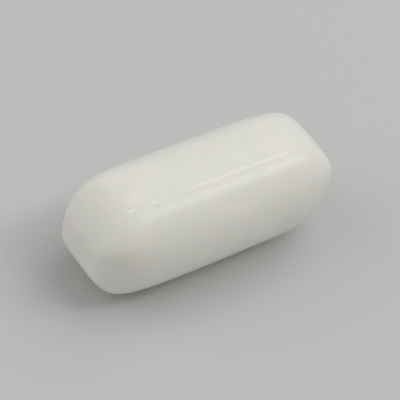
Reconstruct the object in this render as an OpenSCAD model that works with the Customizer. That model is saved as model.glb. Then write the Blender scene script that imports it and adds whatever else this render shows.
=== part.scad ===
// Magnetic stir bar: a magnet rod sealed inside a smooth white fluoropolymer jacket.
// The bar lies along X with its middle over the origin, and rests on the plane z = 0.

/* [Jacket] */
// Diameter of the round body at its middle
bar_d = 8; // [7:0.1:12]
// Overall length of the bar, tip to tip
bar_len = 18.4; // [17:0.1:40]

/* [Ends] */
// How far the front and back slopes of an end run in from the tip
side_slope_len = 1.9; // [1:0.05:3]
// Depth that the front and back slopes take off the radius at the tip
side_slope_drop = 1.33; // [0.5:0.01:2]
// How far the top and bottom slopes of an end run in from the tip
top_slope_len = 1.76; // [1:0.05:3]
// Depth that the top and bottom slopes take off the radius at the tip
top_slope_drop = 2.34; // [1:0.01:2.8]
// How crisply the slopes meet the round body (higher is sharper)
slope_crispness = 5.3; // [4:0.1:12]
// How crisply the flat tip meets the slopes (higher is sharper)
tip_crispness = 7.3; // [4:0.1:12]

/* [Seam] */
// Angle of the moulding seam from the top of the bar, towards the front
seam_angle = 19; // [0:1:85]
// Width of the raised seam line at its root
seam_w = 0.14; // [0.06:0.01:0.3]
// Height of the raised seam line
seam_h = 0.02; // [0.01:0.01:0.1]
// Length of the raised seam line, centred on the bar
seam_len = 12.4; // [6:0.1:14]

/* [Magnet] */
// Diameter of the magnet rod
magnet_d = 5; // [2:0.1:5.6]
// Length of the magnet rod
magnet_len = 12.5; // [6:0.1:13]
// Chamfer on the magnet's ends
magnet_chamfer = 0.3; // [0.05:0.05:0.8]
// Gap between the magnet and the jacket moulded around it
magnet_fit = 0.02; // [0.01:0.01:0.1]

/* [Hidden] */

jacket_white = [0.91, 0.90, 0.87];
magnet_grey = [0.42, 0.42, 0.44];

bar_r = bar_d / 2;
half_len = bar_len / 2;
seam_half_len = seam_len / 2;
seam_half_angle = asin(seam_w / 2 / bar_r);

// Mesh resolution: sections around the bar, and stations from its middle to a tip
sides = 72;
stations = 17;
// The first stations fall on the nearly straight body, the rest crowd towards the tip
crowding = 2.2;

// The section angles run from the top of the bar towards its front. They start on the
// seam, and the seam's two lines each have one more angle close by on either side.
seam_flanks = [for (line = [0, 180], side = [-1, 1]) seam_angle + line + side * seam_half_angle];
even_angles = [for (i = [0 : sides - 1]) seam_angle + i * 360 / sides];
angles = concat(
    [even_angles[0], seam_flanks[1]],
    [for (i = [1 : sides / 2 - 1]) even_angles[i]],
    [seam_flanks[2], even_angles[sides / 2], seam_flanks[3]],
    [for (i = [sides / 2 + 1 : sides - 1]) even_angles[i]],
    [seam_flanks[0] + 360]
);
ring_size = len(angles);

// Places of the rings along the bar, as lengths from its middle
half_places = [for (i = [1 : stations]) half_len * (1 - pow(1 - i / (stations + 1), crowding))];
places = concat(
    [for (i = [stations - 1 : -1 : 0]) -half_places[i]],
    [0],
    half_places
);
ring_count = len(places);

// Radius left at length x by a pair of slopes that take drop off the radius over run
function slope_radius(x, run, drop) = bar_r + (half_len - run - abs(x)) * drop / run;

// Share of the section that is left at length x by the flat tip
function tip_share(x) = pow(1 - pow(abs(x) / half_len, tip_crispness), 1 / tip_crispness);

// Radius of the bar at length x and angle a: the round body and the two pairs of slopes,
// blended so that whichever lies nearest to the axis rules and the edges stay soft
function form_radius(x, a) =
    let (
        k = slope_crispness,
        side = abs(sin(a)) * bar_r / slope_radius(x, side_slope_len, side_slope_drop),
        top = abs(cos(a)) * bar_r / slope_radius(x, top_slope_len, top_slope_drop)
    )
    bar_r * tip_share(x) / pow(1 + pow(side, k) + pow(top, k), 1 / k);

// Height of the raised seam at length x, tapering to nothing at its ends
function seam_rise(x) = seam_h * min(1, max(0, (seam_half_len - abs(x)) / seam_w));

// True where the section's angle number i lies on one of the seam's two lines
function on_seam(i) = i == 0 || angles[i] == seam_angle + 180;

function form_point(x, i) =
    let (
        a = angles[i],
        r = form_radius(x, a) + (on_seam(i) ? seam_rise(x) : 0)
    )
    [x, -r * sin(a), bar_r + r * cos(a)];

// The outer form: one ring of points at each place, closed by a point at each tip
module moulded_form() {
    rings = [for (x = places, i = [0 : ring_size - 1]) form_point(x, i)];
    tips = [[-half_len, 0, bar_r], [half_len, 0, bar_r]];
    left_tip = ring_count * ring_size;
    right_tip = left_tip + 1;
    last = (ring_count - 1) * ring_size;
    walls = [
        for (j = [0 : ring_count - 2], i = [0 : ring_size - 1])
            let (n = (i + 1) % ring_size, a = j * ring_size, b = a + ring_size)
            each [[a + i, a + n, b + n], [a + i, b + n, b + i]]
    ];
    caps = [
        for (i = [0 : ring_size - 1])
            let (n = (i + 1) % ring_size)
            each [[left_tip, n, i], [right_tip, last + i, last + n]]
    ];
    polyhedron(points = concat(rings, tips), faces = concat(walls, caps), convexity = 4);
}

// A rod along the bar's axis with chamfered ends
module chamfered_rod(d, length, chamfer) {
    r = d / 2;
    translate([-length / 2, 0, bar_r])
        rotate([0, 90, 0])
            rotate_extrude($fn = 96)
                polygon([
                    [0, 0],
                    [r - chamfer, 0],
                    [r, chamfer],
                    [r, length - chamfer],
                    [r - chamfer, length],
                    [0, length]
                ]);
}

// The jacket is moulded around the magnet, so its closed pocket has the magnet's form
module jacket() {
    color(jacket_white)
        difference() {
            moulded_form();
            chamfered_rod(magnet_d + 2 * magnet_fit, magnet_len + 2 * magnet_fit, magnet_chamfer);
        }
}

module magnet() {
    color(magnet_grey)
        chamfered_rod(magnet_d, magnet_len, magnet_chamfer);
}

jacket();
magnet();
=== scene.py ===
# %% [markdown]
# # A magnetic stir bar
#
# A stir bar is the small white rod that spins in a beaker on a magnetic stirrer. A rod
# magnet lies sealed inside a jacket of white fluoropolymer. The jacket is moulded in two
# halves, so a fine seam runs along it, and its ends are pressed into four soft slopes.
#
# This lesson dresses the bar's engineering model. The model comes in as a fixed frame:
# it gives the sizes and places, and it is never moved or reshaped. We build a finer jacket
# and magnet in its place, give them their finishes, and light them plainly.

# %% Load the frame
from math import asin, atan2, cos, degrees, hypot, pi, radians, sin

import bmesh
import bpy
from mathutils import Matrix, Vector, noise


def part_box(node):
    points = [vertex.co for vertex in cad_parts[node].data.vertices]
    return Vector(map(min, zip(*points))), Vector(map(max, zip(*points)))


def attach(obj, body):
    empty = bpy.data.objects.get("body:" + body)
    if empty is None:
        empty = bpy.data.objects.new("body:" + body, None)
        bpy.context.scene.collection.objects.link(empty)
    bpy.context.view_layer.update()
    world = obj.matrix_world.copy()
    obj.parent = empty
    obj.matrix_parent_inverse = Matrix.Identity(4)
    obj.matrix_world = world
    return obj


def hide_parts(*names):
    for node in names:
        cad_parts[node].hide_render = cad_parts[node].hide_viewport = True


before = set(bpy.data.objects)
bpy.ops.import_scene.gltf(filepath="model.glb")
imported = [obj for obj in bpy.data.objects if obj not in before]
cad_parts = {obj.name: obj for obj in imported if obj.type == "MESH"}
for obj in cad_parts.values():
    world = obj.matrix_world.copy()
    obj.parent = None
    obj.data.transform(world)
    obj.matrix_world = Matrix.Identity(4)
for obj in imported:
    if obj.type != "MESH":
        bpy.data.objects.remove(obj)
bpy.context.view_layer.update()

print("nodes:", sorted(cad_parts))

# %% [markdown]
# ## Sizes
#
# Everything is in metres, because the frame is. The bar lies along X and rests on z = 0,
# so the frame's box gives its length and its diameter. The few sizes that a box can't
# give, such as how far a slope runs in from the tip, are written once here.

# %% Sizes of the bar
MM = 0.001
low, high = (Vector(corner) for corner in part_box("jacket"))
BAR_LEN = high.x - low.x
BAR_R = (high.z - low.z) / 2
HALF_LEN = BAR_LEN / 2
AXIS = Vector((0, 0, BAR_R))

SIDE_SLOPE = {"run": 1.9 * MM, "drop": 1.33 * MM}
TOP_SLOPE = {"run": 1.76 * MM, "drop": 2.34 * MM}
SLOPE_CRISPNESS = 5.3
TIP_CRISPNESS = 7.3

print(f"bar: {BAR_LEN / MM:.1f} mm long, {2 * BAR_R / MM:.1f} mm thick")

# %% [markdown]
# ## Small helpers
#
# A bmesh is Blender's workbench for a mesh. When a shape is done, the first helper makes
# it an object with smooth shading. The other two turn a point into its angle around the
# bar, from the top towards the front, and such an angle back into a point, because the
# seam and the slopes are both placed by angles.

# %% Helpers for pieces
def finish_piece(bm, name):
    """Turns a bmesh into a smooth-shaded object and says how big it is."""
    mesh = bpy.data.meshes.new(name)
    bm.to_mesh(mesh)
    bm.free()
    mesh.shade_smooth()
    piece = bpy.data.objects.new(name, mesh)
    bpy.context.scene.collection.objects.link(piece)
    print(f"{name}: {len(mesh.vertices)} vertices, {len(mesh.polygons)} faces")
    return piece


def angle_round(point):
    """Angle of a point around the bar's axis, from the top (+Z) towards the front (-Y)."""
    return atan2(-point.y, point.z)


def place_round(x, radius, angle):
    """The point at length x that lies at this radius and angle."""
    return Vector((x, -radius * sin(angle), radius * cos(angle)))


print("helpers ready")

# %% [markdown]
# ## The blank
#
# The jacket starts as a plain round blank, as if it were cut from rod: a cylinder with
# flat ends. `create_cone` with two equal radii makes it standing on Z, so one rotation
# lays it along X, and a second turns one of its edges onto the seam. We keep the axis on
# the origin while we shape it, since every rule below measures from the axis, and lift
# the finished shape at the end.
#
# The long edges are then cut into short ones, and the two end faces are inset ring by
# ring, so that the mesh is fine enough to be pressed into soft curves everywhere.

# %% Cut the blank
SIDES = 144
BODY_CUTS = 159
TIP_RINGS = 23
SEAM_ANGLE = radians(19)


def round_blank(radius, length, sides):
    """A closed cylinder along X with its middle on the origin."""
    bm = bmesh.new()
    bmesh.ops.create_cone(
        bm, cap_ends=True, segments=sides, radius1=radius, radius2=radius, depth=length
    )
    lay_down = Matrix.Rotation(pi / 2, 3, "Y")
    bmesh.ops.rotate(bm, verts=bm.verts, cent=(0, 0, 0), matrix=lay_down)
    return bm


blank = round_blank(BAR_R, BAR_LEN, SIDES)
blank.verts.ensure_lookup_table()
edge_angle = angle_round(blank.verts[0].co)
turn_to_seam = Matrix.Rotation(SEAM_ANGLE - edge_angle, 3, "X")
bmesh.ops.rotate(blank, verts=blank.verts, cent=(0, 0, 0), matrix=turn_to_seam)

end_faces = [face for face in blank.faces if len(face.verts) == SIDES]
long_edges = [e for e in blank.edges if abs(e.verts[0].co.x - e.verts[1].co.x) > HALF_LEN]
bmesh.ops.subdivide_edges(blank, edges=long_edges, cuts=BODY_CUTS, use_grid_fill=True)
for _ in range(TIP_RINGS):
    bmesh.ops.inset_individual(
        blank, faces=end_faces, thickness=BAR_R / (TIP_RINGS + 1), use_even_offset=True
    )
bmesh.ops.poke(blank, faces=end_faces)
print(f"blank: {len(blank.faces)} faces, an edge turned onto {degrees(SEAM_ANGLE):.0f} degrees")

# %% [markdown]
# ## Edge loops beside the seam
#
# The seam is a raised line only 0.13 mm wide, narrower than the faces of the blank. So
# the mesh needs more loops there. `bisect_plane` slices it along a plane that holds the
# bar's axis, and each slice leaves a loop beside the front seam and one beside its twin
# below. The nearest slices, at a quarter of the seam's width, become the ridge's
# shoulders, and the next, at half of it, its foot. The last keep what lies outside still.
#
# Only the faces that the seam crosses are sliced, so the ends keep their even mesh.

# %% Slice beside the seam
SEAM_W = 0.13 * MM
SLICE_OFFSETS = [share * SEAM_W for share in (0.75, 0.5, 0.25)]
# Which faces are sliced: how near the seam their middles lie, how far they reach along
# the bar, and how far out from its axis they are, which leaves the flat ends alone
SLICED_BESIDE = 2 * SEAM_W
SLICED_ALONG = 8.1 * MM
SLICED_BEYOND = 0.98 * BAR_R
PLANE_TOLERANCE = 1e-6 * BAR_R


def faces_under_seam(bm):
    """The faces beside either seam line, with their edges and corners."""
    found = set()
    for face in bm.faces:
        middle = face.calc_center_median()
        beside = abs(BAR_R * sin(angle_round(middle) - SEAM_ANGLE)) < SLICED_BESIDE
        on_side = hypot(middle.y, middle.z) > SLICED_BEYOND
        if beside and on_side and abs(middle.x) < SLICED_ALONG:
            found.update([face, *face.edges, *face.verts])
    return list(found)


def slice_beside_seam(bm, offset):
    """Cuts a loop that runs along the bar at a small distance from both seam lines."""
    angle = SEAM_ANGLE + asin(offset / BAR_R)
    across = Vector((0, -cos(angle), -sin(angle)))
    bmesh.ops.bisect_plane(
        bm, geom=faces_under_seam(bm), plane_co=(0, 0, 0), plane_no=across,
        dist=PLANE_TOLERANCE,
    )


before = len(blank.faces)
for offset in SLICE_OFFSETS:
    slice_beside_seam(blank, offset)
    slice_beside_seam(blank, -offset)
print(f"the slices added {len(blank.faces) - before} faces")

# %% [markdown]
# ## Let the seam run askew
#
# The two halves of the mould don't sit perfectly true, so the seam turns a little around
# the bar from one end to the other. Because the blank is still round, twisting it changes
# nothing but the way its edges run, and the seam's loops go with them.

# %% Twist the blank
SEAM_SKEW = radians(2.0)


def seam_angle(x):
    """Angle of the seam at length x."""
    return SEAM_ANGLE + SEAM_SKEW * x / BAR_LEN


for vert in blank.verts:
    twist = Matrix.Rotation(seam_angle(vert.co.x) - SEAM_ANGLE, 3, "X")
    vert.co = twist @ vert.co
print(f"the seam turns by {degrees(SEAM_SKEW):.0f} degrees from tip to tip")

# %% [markdown]
# ## Press the ends
#
# On the real bar each end narrows to a small flat tip through a steep pair of slopes, top
# and bottom, and a gentle pair, front and back. Nothing meets in a hard edge, which is
# hard to get from bevels, because the edges fade out as they run into the round body.
#
# So each point of the blank is moved by one rule, as a press would do it. The cylinder's
# sharp rim is first pulled in along a superellipse, which rounds it. Then the round body
# and the two pairs of slopes are blended, so that whichever lies nearest to the axis
# rules, and the higher the crispness, the tighter the curve where two of them meet.

# %% Press the blank
def slope_radius(x, slope):
    """Radius that a pair of slopes leaves at length x."""
    return BAR_R + (HALF_LEN - slope["run"] - abs(x)) * slope["drop"] / slope["run"]


def round_rim(point):
    """The factor that pulls a point of the cylinder in, so that its rim becomes soft."""
    along = abs(point.x) / HALF_LEN
    out = hypot(point.y, point.z) / BAR_R
    return (along**TIP_CRISPNESS + out**TIP_CRISPNESS) ** (-1 / TIP_CRISPNESS)


def press(point):
    """Where a point of the blank comes to lie on the pressed bar."""
    point = point * round_rim(point)
    angle = angle_round(point)
    side = abs(sin(angle)) * BAR_R / slope_radius(point.x, SIDE_SLOPE)
    top = abs(cos(angle)) * BAR_R / slope_radius(point.x, TOP_SLOPE)
    k = SLOPE_CRISPNESS
    squeeze = (1 + side**k + top**k) ** (-1 / k)
    return Vector((point.x, point.y * squeeze, point.z * squeeze))


for vert in blank.verts:
    vert.co = press(vert.co)
tip = max(vert.co.x for vert in blank.verts)
print(f"pressed: the tips lie {tip / MM:.2f} mm from the middle")

# %% [markdown]
# ## Raise the seam
#
# Where the two halves of the mould met, a hair of plastic was squeezed out and trimmed
# back. It shows as a thin pale line, clear towards the right end and faint towards the
# left, where one short stretch was left standing by itself. Small beads sit along it,
# where the trimming blade skipped.
#
# A thin strip laid on the bar would show a step at its edges, so the line is raised from
# the jacket's own mesh. The loops beside it are already in place, which leaves only points
# to move outwards: the centre loop by the full height, the nearest loops by half of it.
# One function gives the line's strength at each length, from its run, its growth to the
# right, a little noise and the beads. The height stops growing at twice the usual.
#
# The line's glint is painted as well as raised. The same strength is therefore kept on the
# points as an attribute called "seam", which the jacket's finish reads later to paint the line
# whiter: a painted highlight over the ridge's real one.

# %% Raise the seam
SEAM_H = 0.01 * MM
SEAM_H_MOST = 2 * SEAM_H
# How much whiter the seam is painted: a painted highlight for its glint
SEAM_GLINT_PAINT = 0.33
SEAM_RUN = (-5.2 * MM, 5.1 * MM)
SEAM_FADE = 0.4 * MM
# Strength at the left end of the run, and the length over which it grows to full
SEAM_FAINT = 0.4
SEAM_GROWTH = 6.5 * MM
SEAM_UNEVENNESS = 0.4
UNEVENNESS_SIZE = 0.3 * MM
# Each bead: its middle and its reach along the bar in mm, and the strength it adds
BEADS = [
    (-6.75, 0.36, 3.0), (-5.2, 0.35, 1.2), (-1.6, 0.22, 2.0), (-0.1, 0.2, 0.8),
    (0.45, 0.3, 0.8), (1.65, 0.2, 0.8), (3.6, 0.5, 0.8), (4.9, 0.22, 1.8),
]


def hump(distance, reach):
    """1 at no distance, falling smoothly to 0 at the reach and beyond."""
    part = min(max(distance / reach, 0), 1)
    return 1 - part * part * (3 - 2 * part)


def seam_strength(x, beads):
    """How strong the seam is at length x, where 1 is its usual strength."""
    past = max(SEAM_RUN[0] - x, x - SEAM_RUN[1])
    grown = 1 - (1 - SEAM_FAINT) * hump(x - SEAM_RUN[0], SEAM_GROWTH)
    uneven = 1 + SEAM_UNEVENNESS * noise.noise(Vector((x / UNEVENNESS_SIZE, 0, 0)))
    strength = hump(past, SEAM_FADE) * grown * uneven
    for middle, reach, extra in beads:
        strength += extra * hump(abs(x / MM - middle), reach)
    return strength


# Each point keeps how much whiter it is painted, the seam's painted highlight
painted_glint = blank.verts.layers.float.new("seam")
raised = 0
for vert in blank.verts:
    angle = angle_round(vert.co) - seam_angle(vert.co.x)
    across = BAR_R * abs(sin(angle))
    radius = hypot(vert.co.y, vert.co.z)
    away_from_axis = radius > BAR_R / 2
    if across < SEAM_W and away_from_axis:
        strength = seam_strength(vert.co.x, BEADS if cos(angle) > 0 else [])
        lift = min(SEAM_H * strength, SEAM_H_MOST) * hump(across, SEAM_W / 2)
        vert.co = place_round(vert.co.x, radius + lift, angle_round(vert.co))
        # The painted highlight is strongest on the seam's crest and fades over its width
        vert[painted_glint] = SEAM_GLINT_PAINT * strength * hump(across, SEAM_W)
        raised += lift > 0
print(f"the seam is made of {raised} points")

# %% [markdown]
# ## Soft waviness
#
# Moulded fluoropolymer shrinks unevenly as it cools, so the body is never a perfect
# cylinder: a long highlight on it wanders by a hair. A bump in the finish could fake that,
# but the mesh itself would stay too perfect, so each point sinks by a broad, weak noise.
# The points only move inwards, so the bar stays within its size.

# %% Let the surface sink a little
WAVE_DEPTH = 0.04 * MM
WAVE_SIZE = 2.5 * MM


def sink(point):
    """Where a point of the jacket comes to lie once the plastic has shrunk."""
    depth = WAVE_DEPTH * (0.5 + 0.5 * noise.noise(point / WAVE_SIZE))
    radius = hypot(point.y, point.z)
    return place_round(point.x, max(radius - depth, 0), angle_round(point))


for vert in blank.verts:
    vert.co = sink(vert.co)
print(f"wavy by up to {WAVE_DEPTH / MM:.2f} mm")

# %% [markdown]
# ## The pocket inside
#
# The jacket isn't solid: it was moulded around the magnet, so it holds a closed pocket
# of the magnet's form. Nobody sees it on a whole bar, yet anyone who cuts this one open
# finds a real wall. A boolean could cut the pocket, but it isn't needed, since the two
# surfaces never meet: the pocket is simply a second skin in the same mesh. Its faces are
# turned round, so that they point away from the plastic and into the hollow.

# %% Hollow out the pocket
rod_low, rod_high = (Vector(corner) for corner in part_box("magnet"))
MAGNET_R = (rod_high.z - rod_low.z) / 2
MAGNET_LEN = rod_high.x - rod_low.x
MAGNET_CHAMFER = 0.3 * MM
MAGNET_FIT = 0.02 * MM
ROD_SIDES = 96


def chamfered_rod(radius, length):
    """A rod along X whose two end edges are cut off at a slant."""
    bm = round_blank(radius, length, ROD_SIDES)
    rims = [e for e in bm.edges if abs(e.verts[0].co.x - e.verts[1].co.x) < length / 2]
    bmesh.ops.bevel(
        bm, geom=rims, offset=MAGNET_CHAMFER, offset_type="OFFSET", segments=1,
        profile=0.5, affect="EDGES", material=-1,
    )
    return bm


pocket = chamfered_rod(MAGNET_R + MAGNET_FIT, MAGNET_LEN + 2 * MAGNET_FIT)
bmesh.ops.reverse_faces(pocket, faces=pocket.faces)

# One bmesh takes in another by way of a mesh, which isn't needed afterwards
pocket_skin = bpy.data.meshes.new("pocket_skin")
pocket.to_mesh(pocket_skin)
pocket.free()
blank.from_mesh(pocket_skin)
bpy.data.meshes.remove(pocket_skin)

bmesh.ops.translate(blank, verts=blank.verts, vec=AXIS)
jacket = finish_piece(blank, "moulded_jacket")
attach(jacket, "root")
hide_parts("jacket")

# %% [markdown]
# ## The magnet
#
# The magnet is a cast rod, ground to size, with its edges broken so that they don't cut
# the jacket. A cylinder with bevelled ends says all of that. Its flat ends and its round
# side meet at the bevels, so edges sharper than 30 degrees are marked to shade crisply.

# %% Make the magnet
CRISP_FROM = radians(30)

rod = chamfered_rod(MAGNET_R, MAGNET_LEN)
bmesh.ops.translate(rod, verts=rod.verts, vec=AXIS)
magnet = finish_piece(rod, "magnet_rod")
magnet.data.set_sharp_from_angle(angle=CRISP_FROM)
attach(magnet, "root")
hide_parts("magnet")

# %% [markdown]
# ## Helpers for finishes
#
# A finish is a tree of nodes, and writing each node out takes several lines. These
# helpers make one node in one call. An effect that is used more than once is built as a
# node group with named inputs, so that each material can place it with its own values.

# %% Node helpers
def new_group(name, inputs, outputs):
    """A shader node group with its sockets, and its two end nodes."""
    group = bpy.data.node_groups.new(name, "ShaderNodeTree")
    for kind, sockets in (("INPUT", inputs), ("OUTPUT", outputs)):
        for socket, form in sockets.items():
            group.interface.new_socket(socket, in_out=kind, socket_type=f"NodeSocket{form}")
    return group, group.nodes.new("NodeGroupInput"), group.nodes.new("NodeGroupOutput")


def add_node(tree, kind, values=None, **options):
    """Adds one node, sets its options, and fills or links its input sockets."""
    node = tree.nodes.new(f"ShaderNode{kind}")
    for option, choice in options.items():
        setattr(node, option, choice)
    for socket, value in (values or {}).items():
        if isinstance(value, bpy.types.NodeSocket):
            tree.links.new(value, node.inputs[socket])
        else:
            node.inputs[socket].default_value = value
    return node


def maths(tree, operation, *values):
    """The result socket of one Math node."""
    return add_node(tree, "Math", dict(enumerate(values)), operation=operation).outputs[0]


def mix_colours(tree, share, under, over):
    """The colour that lies this share of the way from under to over."""
    # A Mix node has sockets for every kind of data, so the colour ones go by number
    mix = add_node(tree, "Mix", {0: share, 6: under, 7: over}, data_type="RGBA")
    return mix.outputs[2]


print("node helpers ready")

# %% [markdown]
# ## Soft clouds of colour
#
# No real surface is one flat colour. `cloudy_tone` drifts between two close ones, along
# a noise that is read at the object's own coordinates, so it stays put from every side.
# Noise keeps near its middle, so that part is stretched until both colours are reached.

# %% Cloudy tone
cloudy_tone, given, result = new_group(
    "cloudy_tone",
    {"Place": "Vector", "Per Metre": "Float", "Light": "Color", "Dark": "Color"},
    {"Colour": "Color", "Cloud": "Float"},
)
cloud = add_node(
    cloudy_tone, "TexNoise",
    {"Vector": given.outputs["Place"], "Scale": given.outputs["Per Metre"], "Detail": 3,
     "Roughness": 0.55},
)
spread = add_node(
    cloudy_tone, "MapRange",
    {"Value": cloud.outputs[0], "From Min": 0.3, "From Max": 0.7},
    interpolation_type="SMOOTHSTEP",
)
tone = mix_colours(
    cloudy_tone, spread.outputs[0], given.outputs["Light"], given.outputs["Dark"]
)
cloudy_tone.links.new(tone, result.inputs["Colour"])
cloudy_tone.links.new(spread.outputs[0], result.inputs["Cloud"])
print("cloudy_tone:", len(cloudy_tone.nodes), "nodes")

# %% [markdown]
# ## Specks of dirt
#
# Dust sticks to a white bar and shows on it at once. A speck isn't worth a mesh, so
# `small_speck` is a mask around one point: full within half its radius, and gone a little
# beyond it. A fine noise, added to the distance, makes its edge ragged.

# %% Small speck
GRAINS_PER_METRE = 9000
RAGGEDNESS = 0.6

small_speck, given, result = new_group(
    "small_speck",
    {"Place": "Vector", "Centre": "Vector", "Radius": "Float", "Density": "Float"},
    {"Mask": "Float"},
)
ragged = add_node(
    small_speck, "TexNoise",
    {"Vector": given.outputs["Place"], "Scale": GRAINS_PER_METRE, "Detail": 2},
)
away = add_node(
    small_speck, "VectorMath", {0: given.outputs["Place"], 1: given.outputs["Centre"]},
    operation="DISTANCE",
)
reach = maths(small_speck, "DIVIDE", away.outputs["Value"], given.outputs["Radius"])
wobble = maths(
    small_speck, "MULTIPLY_ADD", ragged.outputs[0], 2 * RAGGEDNESS, -RAGGEDNESS
)
edge = add_node(
    small_speck, "MapRange",
    {"Value": maths(small_speck, "ADD", reach, wobble), "From Min": 0.5, "From Max": 1.1,
     "To Min": 1, "To Max": 0},
    interpolation_type="SMOOTHSTEP",
)
dense = maths(small_speck, "MULTIPLY", edge.outputs[0], given.outputs["Density"])
small_speck.links.new(dense, result.inputs["Mask"])
print("small_speck:", len(small_speck.nodes), "nodes")

# %% [markdown]
# ## The white jacket
#
# Fluoropolymer is white but milky: light goes in, scatters, and comes out a little way
# off, which softens every shadow on it. A plain white would look like chalk instead, so
# subsurface scattering is added, with a radius of a few tenths of a millimetre. The
# plastic bends light less than most, so its gloss is weak. Its skin is satin, from a
# roughness that drifts with the clouds and a very fine bump.
#
# The base colour drifts faintly between a warmer and a cooler white. A few specks of dirt
# are mixed over it, and last a painted highlight: the seam's glint, painted as a whiter line
# where the "seam" attribute says so. A speck is placed as the seam is, by a length and an
# angle. The rules that shaped the jacket then say where on its surface that is.

# %% Finish the jacket
WARM_WHITE = (0.81, 0.795, 0.735, 1)
COOL_WHITE = (0.78, 0.775, 0.712, 1)
# The whiter colour of the seam's painted highlight
SEAM_GLINT_WHITE = (0.98, 0.975, 0.92, 1)
GREY_DIRT = (0.22, 0.22, 0.16, 1)
BROWN_DIRT = (0.34, 0.25, 0.12, 1)
# Each speck: its place along the bar in mm and round it in degrees, its radius in mm,
# how dense it is, and its colour
SPECKS = [
    (-0.65, 31, 0.05, 0.28, GREY_DIRT),
    (-0.55, 31.5, 0.05, 0.36, GREY_DIRT),
    (-5.2, 23, 0.10, 0.10, BROWN_DIRT),
    (-5.0, 23, 0.09, 0.12, BROWN_DIRT),
    (6.4, 57, 0.13, 0.15, BROWN_DIRT),
    (2.4, -1, 0.13, 0.05, GREY_DIRT),
]
CLOUDS_PER_METRE = 400
SKIN_GRAINS_PER_METRE = 5000
SKIN_ROUGHNESS = (0.22, 0.26)
SKIN_BUMP = 0.15
BUMP_HEIGHT = 0.01 * MM
LIGHT_BENDING = 1.36
MILKINESS = 0.6
# How far light of each colour scatters: red the furthest
SCATTER_REACH = 0.5 * MM
SCATTER_SHARES = (1.0, 0.85, 0.7)


def new_material(name):
    """An empty node material and its Principled shader."""
    material = bpy.data.materials.new(name)
    material.use_nodes = True
    tree = material.node_tree
    return material, tree, tree.nodes["Principled BSDF"]


def place_on_object(tree):
    """The coordinates of the object itself, so that a pattern stays put on it."""
    return add_node(tree, "TexCoord").outputs["Object"]


def on_jacket(along, angle):
    """The point of the jacket's surface at this length in mm and angle in degrees."""
    return AXIS + sink(press(place_round(along * MM, BAR_R, radians(angle))))


def use_group(tree, group, values):
    """Places a shared effect in a material, with that material's own values."""
    return add_node(tree, "Group", values, node_tree=group)


ptfe, tree, shader = new_material("milky_fluoropolymer")
place = place_on_object(tree)
clouds = use_group(
    tree, cloudy_tone,
    {"Place": place, "Per Metre": CLOUDS_PER_METRE, "Light": WARM_WHITE,
     "Dark": COOL_WHITE},
)
colour = clouds.outputs["Colour"]
for along, angle, radius, density, dirt in SPECKS:
    speck = use_group(
        tree, small_speck,
        {"Place": place, "Centre": on_jacket(along, angle), "Radius": radius * MM,
         "Density": density},
    )
    colour = mix_colours(tree, speck.outputs["Mask"], colour, dirt)
# Last, the seam's glint is painted on as a whiter line: a painted highlight
painted_seam_glint = add_node(tree, "Attribute", attribute_name="seam").outputs["Fac"]
colour = mix_colours(tree, painted_seam_glint, colour, SEAM_GLINT_WHITE)
tree.links.new(colour, shader.inputs["Base Color"])

glossiest, dullest = SKIN_ROUGHNESS
gloss = add_node(
    tree, "MapRange",
    {"Value": clouds.outputs["Cloud"], "To Min": glossiest, "To Max": dullest},
)
tree.links.new(gloss.outputs[0], shader.inputs["Roughness"])
skin = add_node(
    tree, "TexNoise", {"Vector": place, "Scale": SKIN_GRAINS_PER_METRE, "Detail": 2}
)
bump = add_node(
    tree, "Bump",
    {"Height": skin.outputs[0], "Strength": SKIN_BUMP, "Distance": BUMP_HEIGHT},
)
tree.links.new(bump.outputs[0], shader.inputs["Normal"])
shader.inputs["IOR"].default_value = LIGHT_BENDING
shader.inputs["Subsurface Weight"].default_value = MILKINESS
shader.inputs["Subsurface Radius"].default_value = SCATTER_SHARES
shader.inputs["Subsurface Scale"].default_value = SCATTER_REACH
jacket.data.materials.append(ptfe)
print(f"jacket: {len(SPECKS)} specks on {ptfe.name}")

# %% [markdown]
# ## The magnet's alloy
#
# A cast and ground magnet is dull grey metal. The grinding wheel leaves fine rings around
# the rod, so the noise that varies its gloss is squashed along X: a Mapping node scales
# the coordinates before the noise reads them.

# %% Finish the magnet
ALLOY_LIGHT = (0.44, 0.44, 0.46, 1)
ALLOY_DARK = (0.36, 0.36, 0.37, 1)
ALLOY_CLOUDS_PER_METRE = 900
RINGS_PER_METRE = 400
RING_ROUGHNESS = (0.35, 0.6)
RING_BUMP = 0.3
SQUASH_ALONG_X = (30, 1, 1)

alloy, tree, shader = new_material("ground_magnet_alloy")
place = place_on_object(tree)
clouds = use_group(
    tree, cloudy_tone,
    {"Place": place, "Per Metre": ALLOY_CLOUDS_PER_METRE, "Light": ALLOY_LIGHT,
     "Dark": ALLOY_DARK},
)
tree.links.new(clouds.outputs["Colour"], shader.inputs["Base Color"])
squashed = add_node(tree, "Mapping", {"Vector": place, "Scale": SQUASH_ALONG_X})
rings = add_node(
    tree, "TexNoise",
    {"Vector": squashed.outputs[0], "Scale": RINGS_PER_METRE, "Detail": 3},
)
glossiest, dullest = RING_ROUGHNESS
gloss = add_node(
    tree, "MapRange", {"Value": rings.outputs[0], "To Min": glossiest, "To Max": dullest}
)
tree.links.new(gloss.outputs[0], shader.inputs["Roughness"])
bump = add_node(
    tree, "Bump",
    {"Height": rings.outputs[0], "Strength": RING_BUMP, "Distance": BUMP_HEIGHT},
)
tree.links.new(bump.outputs[0], shader.inputs["Normal"])
shader.inputs["Metallic"].default_value = 1
magnet.data.materials.append(alloy)
print(f"magnet: {alloy.name}")

# %% [markdown]
# ## Floor and backdrop
#
# A plain pale floor shows the bar's true shape and keeps its shadow. Far away it would
# end in a hard line against a dark world, so the world is pale too wherever the camera or
# a reflection sees it. Where it lights the scene it is dimmer, and leaves the shading to
# the lamps.

# %% Lay the floor
FLOOR_R = 1.2
FLOOR_PALE = (0.57, 0.57, 0.565, 1)
WORLD_SEEN = (0.9, 0.9, 0.9, 1)
WORLD_LIGHT = (1, 1, 1, 1)
WORLD_FILL = 0.40

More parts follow.
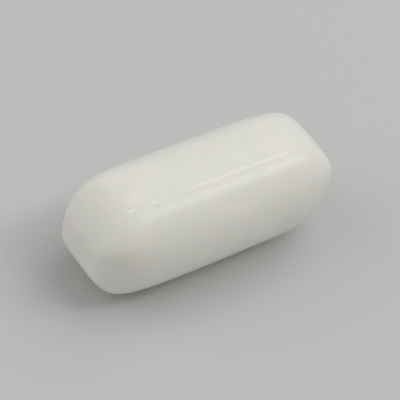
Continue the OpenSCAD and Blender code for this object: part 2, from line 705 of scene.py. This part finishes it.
bm = bmesh.new()
bmesh.ops.create_circle(bm, cap_ends=True, segments=96, radius=FLOOR_R)
floor = finish_piece(bm, "pale_floor")
paint, _, shader = new_material("matt_floor")
shader.inputs["Base Color"].default_value = FLOOR_PALE
shader.inputs["Roughness"].default_value = 0.9
shader.inputs["Specular IOR Level"].default_value = 0.2
floor.data.materials.append(paint)

world = bpy.data.worlds.new("studio")
bpy.context.scene.world = world
world.use_nodes = True
tree = world.node_tree
seen = add_node(tree, "Background", {"Color": WORLD_SEEN, "Strength": 1})
fill = add_node(tree, "Background", {"Color": WORLD_LIGHT, "Strength": WORLD_FILL})
path = add_node(tree, "LightPath").outputs
looked_at = maths(
    tree, "MAXIMUM", path["Is Camera Ray"],
    maths(tree, "MAXIMUM", path["Is Glossy Ray"], path["Is Transmission Ray"]),
)
blend = add_node(
    tree, "MixShader", {0: looked_at, 1: fill.outputs[0], 2: seen.outputs[0]}
)
tree.links.new(blend.outputs[0], tree.nodes["World Output"].inputs["Surface"])
print(f"floor: {2 * FLOOR_R} m across")

# %% [markdown]
# ## Lights
#
# The main lamp is large and soft, and hangs above the bar and to its right. It is as wide
# as it is far away, so the shading rolls off slowly and the shadow stays soft. A weaker
# lamp behind the left end keeps that end from going dull. A long narrow lamp, above, in
# front and to the right, draws the faint highlight that runs along the bar just below the
# seam.
#
# A lamp's place is given as a direction from the bar, since that is what decides where
# its highlight falls. An area lamp shines along its own -Z, so its Z axis points back.

# %% Hang the lamps
def hang_lamp(name, direction, distance, size, size_along, watts):
    """An area lamp that faces the bar, with its second side along the bar."""
    light = bpy.data.lights.new(name, "AREA")
    light.shape = "RECTANGLE"
    light.size, light.size_y = size_along, size
    light.energy = watts
    lamp = bpy.data.objects.new(name, light)
    back = Vector(direction).normalized()
    along = (Vector((1, 0, 0)) - back * back.x).normalized()
    turn = Matrix((along, back.cross(along), back)).transposed().to_4x4()
    lamp.matrix_world = Matrix.Translation(AXIS + back * distance) @ turn
    bpy.context.scene.collection.objects.link(lamp)
    print(f"{name}: {watts} W at {distance} m")


hang_lamp("main_lamp", (0.47, 0.0, 0.88), 0.50, size=0.50, size_along=0.50, watts=0.96)
hang_lamp("back_lamp", (-0.71, 0.41, 0.57), 0.50, size=0.40, size_along=0.40, watts=0.56)
hang_lamp("strip_lamp", (0.48, -0.40, 0.80), 0.40, size=0.08, size_along=0.26, watts=0.24)

# %% [markdown]
# ## Camera
#
# The camera looks down at 47 degrees from beyond the bar's left end, through a long lens,
# and is rolled a little, so that the bar rises to the right across the frame.

# %% Place the camera
CAMERA_TURN = radians(47.2)
CAMERA_HEIGHT = radians(47.06)
CAMERA_ROLL = radians(17.1)
CAMERA_DISTANCE = 120.8 * MM
CAMERA_LENS = 170.3
CAMERA_SEES_FROM = 10 * MM
FRAMING = Vector((0.042, 0.070, 0)) * MM

lens = bpy.data.cameras.new("camera")
lens.lens = CAMERA_LENS
lens.clip_start = CAMERA_SEES_FROM
camera = bpy.data.objects.new("camera", lens)
bpy.context.scene.collection.objects.link(camera)
bpy.context.scene.camera = camera
back = Vector((
    -sin(CAMERA_TURN) * cos(CAMERA_HEIGHT),
    -cos(CAMERA_TURN) * cos(CAMERA_HEIGHT),
    sin(CAMERA_HEIGHT),
))
turn = back.to_track_quat("Z", "Y").to_matrix() @ Matrix.Rotation(CAMERA_ROLL, 3, "Z")
eye = AXIS + back * CAMERA_DISTANCE + turn @ FRAMING
camera.matrix_world = Matrix.Translation(eye) @ turn.to_4x4()
print("camera at", [round(c / MM, 1) for c in eye], "mm")

# %% [markdown]
# ## The colour view
#
# The dressed bar has to stay inside its engineering model. Last, the render is set to show
# each colour as it is written, through the Standard view transform.

# %% Show colours plainly
bpy.context.scene.view_settings.view_transform = "Standard"
